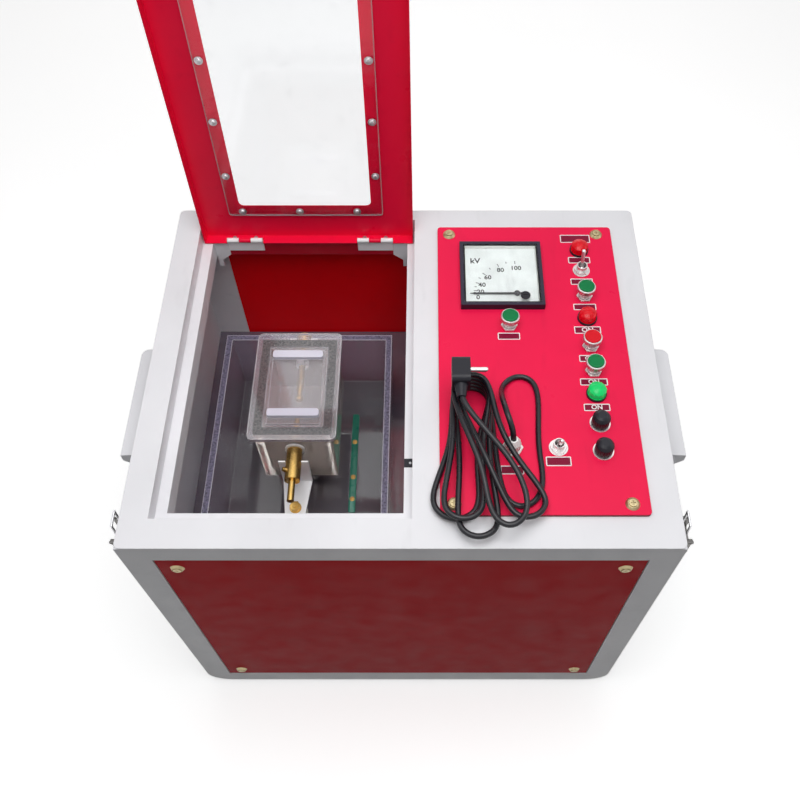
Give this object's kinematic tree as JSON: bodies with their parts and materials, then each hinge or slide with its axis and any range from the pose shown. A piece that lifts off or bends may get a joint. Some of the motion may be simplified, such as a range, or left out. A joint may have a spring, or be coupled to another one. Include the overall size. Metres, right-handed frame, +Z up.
{
  "type": "insulating oil breakdown voltage tester",
  "caption": "Bench tester for insulating oil: steel cabinet with a lidded test chamber, oil cup and electrodes on the left and a control panel with mains cord on the right.",
  "frame": {"origin": "on the floor under the middle of the cabinet", "axes": "+X to the right, -Y to the user at the front panel, +Z up"},
  "size_m": [0.624, 0.4554, 0.8477],
  "materials": {
    "white_paint": "fine textured powder coat, satin",
    "red_paint": "smooth powder coat, semi-gloss",
    "galvanised": "plain grey coat",
    "steel": "zinc plated, satin",
    "chrome_steel": "bright nickel plate",
    "brass": "turned brass",
    "yellow_zinc": "yellow passivated zinc",
    "clear_sheet": "clear acrylic, polished",
    "floor_sheet": "dark grey laminate, gloss",
    "porcelain": "glazed insulator",
    "white_plastic": "moulded, satin",
    "black_plastic": "moulded, satin",
    "green_plastic": "moulded, gloss",
    "red_plastic": "moulded, gloss",
    "red_lens": "clear red lens",
    "green_lens": "clear green lens",
    "dial_face": "matt printed dial",
    "rubber": "moulded rubber",
    "cord_sheath": "soft sheath, satin",
    "tank_paint": "grey enamel",
    "copper": "enamelled copper winding",
    "board": "green circuit board"
  },
  "bodies": {
    "housing": {"cabinet": "white_paint", "top_frame": "white_paint", "partition": "galvanised", "chamber_floor": "floor_sheet", "front_panel": "red_paint", "rear_panel": "red_paint", "control_panel": "red_paint", "panel_screws": "yellow_zinc", "feet": "rubber", "side_handles": "white_paint", "latch_bases": "galvanised", "hinge_frame_leaves": "white_paint", "barrier_box": "clear_sheet", "bushings": "porcelain", "cup_brackets": "white_paint", "bracket_bolts": "brass", "interlock_switch": "black_plastic", "hv_transformer": "tank_paint", "variac_core": "copper", "drive_motor": "galvanised", "relay_board": "board", "meter_case": "black_plastic", "meter_dial": "dial_face", "meter_glass": "clear_sheet", "button_bodies": "chrome_steel", "lamp_bodies": "black_plastic", "lamp_lenses_red": "red_lens", "lamp_lens_green": "green_lens", "toggle_bodies": "chrome_steel", "fuse_holders": "chrome_steel", "cord_gland": "white_plastic", "mains_cord": "cord_sheath", "plug_body": "black_plastic", "plug_pins": "brass"},
    "lid": {"lid_pan": "red_paint", "lid_window": "clear_sheet", "hinge_lid_leaves": "red_paint"},
    "latch_lever_left": {"latch_lever_left": "steel"},
    "latch_lever_right": {"latch_lever_right": "steel"},
    "latch_bail_left": {"latch_bail_left": "steel"},
    "latch_bail_right": {"latch_bail_right": "steel"},
    "cup": {"oil_cup": "clear_sheet", "stem_collars": "brass", "stem_washers": "white_plastic"},
    "cover": {"cup_cover": "clear_sheet"},
    "electrode_front": {"electrode_front": "brass"},
    "electrode_rear": {"electrode_rear": "brass"},
    "interlock_plunger": {"interlock_plunger": "steel"},
    "button_hold": {"button_cap_hold": "green_plastic"},
    "button_start": {"button_cap_start": "green_plastic"},
    "button_off": {"button_cap_off": "red_plastic"},
    "button_on": {"button_cap_on": "green_plastic"},
    "toggle_rear": {"toggle_lever_rear": "chrome_steel"},
    "toggle_front": {"toggle_lever_front": "chrome_steel"},
    "fuse_cap_rear": {"fuse_cap_rear": "black_plastic"},
    "fuse_cap_front": {"fuse_cap_front": "black_plastic"},
    "meter_pointer": {"meter_pointer": "black_plastic"},
    "meter_adjuster": {"meter_adjuster": "black_plastic"},
    "brush_shaft": {"variac_rotor": "steel"},
    "pinion": {"motor_pinion": "brass"}
  },
  "joints": [
    {"name": "lid_hinge", "type": "hinge", "parent": "housing", "child": "lid", "pos_m": [0, 0.1901, 0.467], "axis": [-1, 0, 0], "range_deg": [-93, 0]},
    {"name": "latch_lever_right_turn", "type": "hinge", "parent": "housing", "child": "latch_lever_right", "pos_m": [0.294, -0.19, 0.447], "axis": [0, -1, 0], "range_deg": [0, 90]},
    {"name": "latch_bail_right_turn", "type": "hinge", "parent": "latch_lever_right", "child": "latch_bail_right", "pos_m": [0.2895, -0.19, 0.438], "axis": [0, -1, 0], "range_deg": [-90, 0]},
    {"name": "latch_lever_left_turn", "type": "hinge", "parent": "housing", "child": "latch_lever_left", "pos_m": [-0.294, -0.19, 0.447], "axis": [0, 1, 0], "range_deg": [0, 90]},
    {"name": "latch_bail_left_turn", "type": "hinge", "parent": "latch_lever_left", "child": "latch_bail_left", "pos_m": [-0.2895, -0.19, 0.438], "axis": [0, 1, 0], "range_deg": [-90, 0]},
    {"name": "cup_lift", "type": "slide", "parent": "housing", "child": "cup", "axis": [0, 0, 1], "range_m": [0, 0.3]},
    {"name": "cover_lift", "type": "slide", "parent": "cup", "child": "cover", "axis": [0, 0, 1], "range_m": [0, 0.06]},
    {"name": "electrode_front_slide", "type": "slide", "parent": "cup", "child": "electrode_front", "axis": [0, 1, 0], "range_m": [-0.01, 0.006]},
    {"name": "electrode_rear_slide", "type": "slide", "parent": "cup", "child": "electrode_rear", "axis": [0, -1, 0], "range_m": [-0.01, 0.006]},
    {"name": "interlock_push", "type": "slide", "parent": "housing", "child": "interlock_plunger", "axis": [0, 0, -1], "range_m": [0, 0.0015], "stiffness_N_per_m": 200, "springref_m": -0.001},
    {"name": "button_hold_push", "type": "slide", "parent": "housing", "child": "button_hold", "axis": [0, 0, -1], "range_m": [0, 0.002], "stiffness_N_per_m": 200, "springref_m": -0.001},
    {"name": "button_start_push", "type": "slide", "parent": "housing", "child": "button_start", "axis": [0, 0, -1], "range_m": [0, 0.002], "stiffness_N_per_m": 200, "springref_m": -0.001},
    {"name": "button_off_push", "type": "slide", "parent": "housing", "child": "button_off", "axis": [0, 0, -1], "range_m": [0, 0.002], "stiffness_N_per_m": 200, "springref_m": -0.001},
    {"name": "button_on_push", "type": "slide", "parent": "housing", "child": "button_on", "axis": [0, 0, -1], "range_m": [0, 0.002], "stiffness_N_per_m": 200, "springref_m": -0.001},
    {"name": "toggle_rear_throw", "type": "hinge", "parent": "housing", "child": "toggle_rear", "pos_m": [0.208, 0.124, 0.491], "axis": [1, 0, 0], "range_deg": [0, 34]},
    {"name": "toggle_front_throw", "type": "hinge", "parent": "housing", "child": "toggle_front", "pos_m": [0.162, -0.115, 0.491], "axis": [-1, 0, 0], "range_deg": [0, 34]},
    {"name": "fuse_cap_rear_turn", "type": "hinge", "parent": "housing", "child": "fuse_cap_rear", "pos_m": [0.208, -0.086, 0.4888], "axis": [0, 0, -1], "range_deg": [0, 60]},
    {"name": "fuse_cap_front_turn", "type": "hinge", "parent": "housing", "child": "fuse_cap_front", "pos_m": [0.208, -0.119, 0.4888], "axis": [0, 0, -1], "range_deg": [0, 60]},
    {"name": "meter_pointer_swing", "type": "hinge", "parent": "housing", "child": "meter_pointer", "pos_m": [0.13, 0.086, 0.491], "axis": [0, 0, -1], "range_deg": [0, 90], "stiffness_Nm_per_rad": 0.0002},
    {"name": "meter_adjuster_turn", "type": "hinge", "parent": "housing", "child": "meter_adjuster", "pos_m": [0.139, 0.0794, 0.495], "axis": [0, 0, 1], "range_deg": [-45, 45]},
    {"name": "brush_turn", "type": "hinge", "parent": "housing", "child": "brush_shaft", "pos_m": [0.1565, 0.06, 0.07], "axis": [0, 0, 1], "range_deg": [0, 315]},
    {"name": "pinion_spin", "type": "hinge", "parent": "housing", "child": "pinion", "pos_m": [0.1565, 0.015, 0.1], "axis": [0, 0, 1], "range_deg": [-945, 0]}
  ],
  "couplings": [
    {"joint": "latch_bail_right_turn", "follows": "latch_lever_right_turn", "ratio": -1},
    {"joint": "latch_bail_left_turn", "follows": "latch_lever_left_turn", "ratio": -1},
    {"joint": "pinion_spin", "follows": "brush_turn", "ratio": -3}
  ]
}
